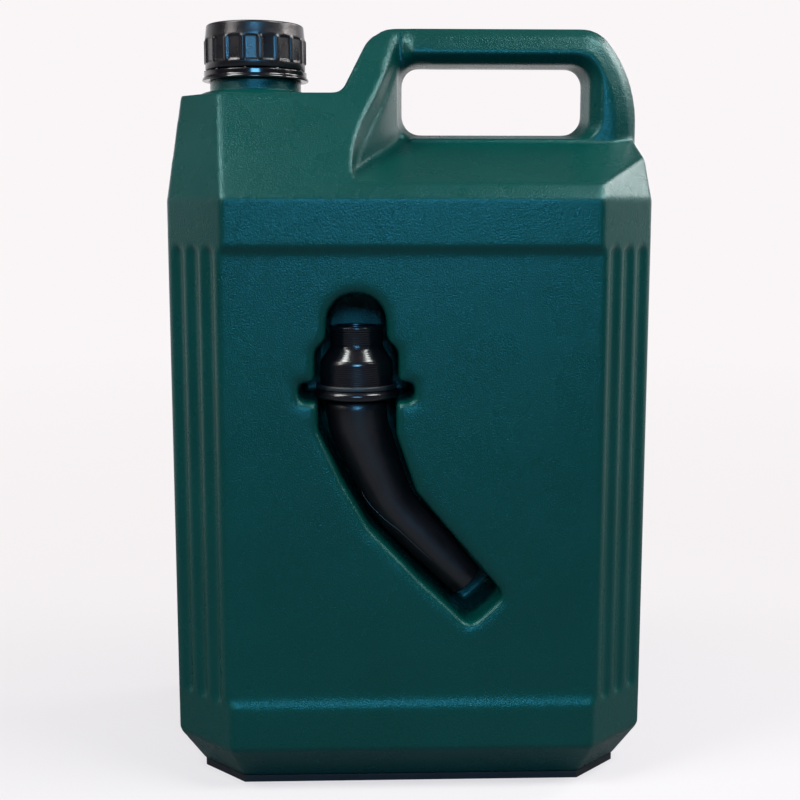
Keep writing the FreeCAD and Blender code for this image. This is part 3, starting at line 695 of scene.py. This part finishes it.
def collar_plastic():
    """Glossy black with fine turned rings."""
    m = Paint("collar_black")
    m.shader.inputs["Base Color"].default_value = (0.006, 0.005, 0.006, 1)
    m.join(m.remap(m.noise(250, 3.0), 0.3, 0.7, 0.16, 0.26), m.shader.inputs["Roughness"])
    rings = m.add("ShaderNodeTexWave", wave_type="BANDS", bands_direction="Z", Scale=380, Distortion=0.0)
    m.join(m.place(), rings.inputs["Vector"])
    m.join(m.bump(rings.outputs["Fac"], 0.04 * MM, 0.5), m.shader.inputs["Normal"])
    return m.material


def seal_foam():
    m = Paint("liner_foam")
    tone = m.ramp(m.noise(900, 3.0), [(0.3, (0.70, 0.69, 0.66)), (0.7, (0.82, 0.81, 0.78))])
    m.join(tone, m.shader.inputs["Base Color"])
    m.join(m.bump(m.noise(2500), 0.1 * MM, 0.5), m.shader.inputs["Normal"])
    m.shader.inputs["Roughness"].default_value = 0.8
    return m.material


# ---------------------------------------------------------------- stage, light and camera

PALE = (0.955, 0.920, 0.930)


def build_stage():
    """Pale floor that is shaded near the can and fades into the backdrop further off."""
    half = 8.0
    corners = [(-half, -half, 0), (half, -half, 0), (half, half, 0), (-half, half, 0)]
    floor = link(mesh_from(corners, [(0, 1, 2, 3)], "floor"), "floor")
    m = Paint("pale_floor")
    path = m.add("ShaderNodeLightPath")
    seen = path.outputs["Is Camera Ray"]
    m.join(m.mix(seen, (0.16, 0.16, 0.16), (0.60, 0.58, 0.59)), m.shader.inputs["Base Color"])
    m.shader.inputs["Roughness"].default_value = 0.9
    m.shader.inputs["Specular IOR Level"].default_value = 0.0
    length = m.add("ShaderNodeVectorMath", operation="LENGTH")
    m.join(m.place(), length.inputs[0])
    far = m.remap(length.outputs["Value"], 0.10, 0.40, 0.7, 1.0)
    both = m.add("ShaderNodeMath", operation="MULTIPLY")
    m.join(far, both.inputs[0])
    m.join(seen, both.inputs[1])
    split = m.add("ShaderNodeSeparateXYZ")
    m.join(m.place(), split.inputs[0])
    back = m.remap(split.outputs["Y"], 0.12, 0.45, 0.0, 1.0)
    share = m.add("ShaderNodeMath", operation="MAXIMUM")
    m.join(both.outputs["Value"], share.inputs[0])
    m.join(back, share.inputs[1])
    glow = m.add("ShaderNodeEmission", Color=(*PALE, 1))
    m.join(m.remap(length.outputs["Value"], 0.1, 1.6, 0.95, 1.0), glow.inputs["Strength"])
    blend = m.add("ShaderNodeMixShader")
    m.join(share.outputs["Value"], blend.inputs["Fac"])
    m.join(m.shader.outputs["BSDF"], blend.inputs[1])
    m.join(glow.outputs["Emission"], blend.inputs[2])
    m.join(blend.outputs["Shader"], m.tree.nodes["Material Output"].inputs["Surface"])
    floor.data.materials.append(m.material)


def area_light(name, place, target, size, power, colour):
    data = bpy.data.lights.new(name, "AREA")
    data.shape = "RECTANGLE"
    data.size, data.size_y = size
    data.energy = power
    data.color = colour
    light = bpy.data.objects.new(name, data)
    light.location = place
    light.rotation_euler = (Vector(target) - Vector(place)).to_track_quat("-Z", "Y").to_euler()
    scene.collection.objects.link(light)


def fade(tree, source, low, high, to_low, to_high):
    node = tree.nodes.new("ShaderNodeMapRange")
    for key, value in zip(("From Min", "From Max", "To Min", "To Max"), (low, high, to_low, to_high)):
        node.inputs[key].default_value = value
    tree.links.new(source, node.inputs["Value"])
    return node.outputs["Result"]


def build_world():
    """Pale to the camera; to everything else a white backdrop behind and a dim room in front."""
    world = bpy.data.worlds.new("studio")
    scene.world = world
    world.use_nodes = True
    tree = world.node_tree
    nodes, links = tree.nodes, tree.links
    room = nodes["Background"]
    place = nodes.new("ShaderNodeTexCoord")
    split = nodes.new("ShaderNodeSeparateXYZ")
    links.new(place.outputs["Generated"], split.inputs[0])
    height = nodes.new("ShaderNodeMath")
    height.operation = "ABSOLUTE"
    links.new(split.outputs["Z"], height.inputs[0])
    behind = fade(tree, split.outputs["Y"], 0.0, 0.5, 0.0, 1.0)
    level = fade(tree, height.outputs["Value"], 0.15, 0.5, 1.0, 0.0)
    both = nodes.new("ShaderNodeMath")
    both.operation = "MULTIPLY"
    links.new(behind, both.inputs[0])
    links.new(level, both.inputs[1])
    tone = nodes.new("ShaderNodeMix")
    tone.data_type = "RGBA"
    links.new(both.outputs["Value"], tone.inputs["Factor"])
    tone.inputs[6].default_value = (0.055, 0.040, 0.055, 1)
    tone.inputs[7].default_value = (1.3, 1.28, 1.3, 1)
    links.new(tone.outputs[2], room.inputs["Color"])
    pale = nodes.new("ShaderNodeBackground")
    pale.inputs["Color"].default_value = (*PALE, 1)
    path = nodes.new("ShaderNodeLightPath")
    blend = nodes.new("ShaderNodeMixShader")
    links.new(path.outputs["Is Camera Ray"], blend.inputs["Fac"])
    links.new(room.outputs["Background"], blend.inputs[1])
    links.new(pale.outputs["Background"], blend.inputs[2])
    links.new(blend.outputs["Shader"], nodes["World Output"].inputs["Surface"])
    scene.view_settings.view_transform = "Standard"


def build_camera():
    data = bpy.data.cameras.new("camera")
    data.sensor_width = 36
    data.lens = 57.6
    data.clip_start = 0.01
    camera = bpy.data.objects.new("camera", data)
    camera.location = (-0.0200, -0.5475, 0.2273)
    pitch = math.radians(8.236)
    yaw = math.radians(1.786)
    ahead = Vector((math.sin(yaw) * math.cos(pitch), math.cos(yaw) * math.cos(pitch), -math.sin(pitch)))
    camera.rotation_euler = ahead.to_track_quat("-Z", "Y").to_euler()
    scene.collection.objects.link(camera)
    scene.camera = camera


def build_lights():
    area_light("blue_softbox", (0.02, -1.15, 0.54), (0, 0, 0.2), (0.35, 0.22), 8.5, (0.16, 0.56, 1.0))
    for side in (-1, 1):
        area_light("key_softbox", (0.67 * side, -0.385, 1.17), (0, 0, 0.2), (0.45, 0.4), 13, (0.95, 1, 0.98))
    area_light("top_softbox", (0, 0.1, 1.5), (0, 0, 0), (1.6, 1.6), 1.2, (1, 0.98, 1))
    area_light("right_softbox", (1.15, -0.12, 0.8), (0, 0, 0.25), (0.25, 0.3), 6, (1, 0.95, 0.93))
    area_light("far_right_softbox", (1.05, 0.4, 0.95), (0, 0, 0.25), (0.35, 0.35), 9, (1, 0.93, 0.92))
    area_light("left_softbox", (-1.0, -0.65, 0.85), (0, 0, 0.25), (0.25, 0.3), 5, (1, 0.93, 0.9))


build_camera()
build_stage()
build_world()
build_lights()
build_can()
build_neck()
build_foot()
build_ring()
build_disc()
build_seal()
build_band()
build_tube()
build_breather()
build_collar()
build_washer()
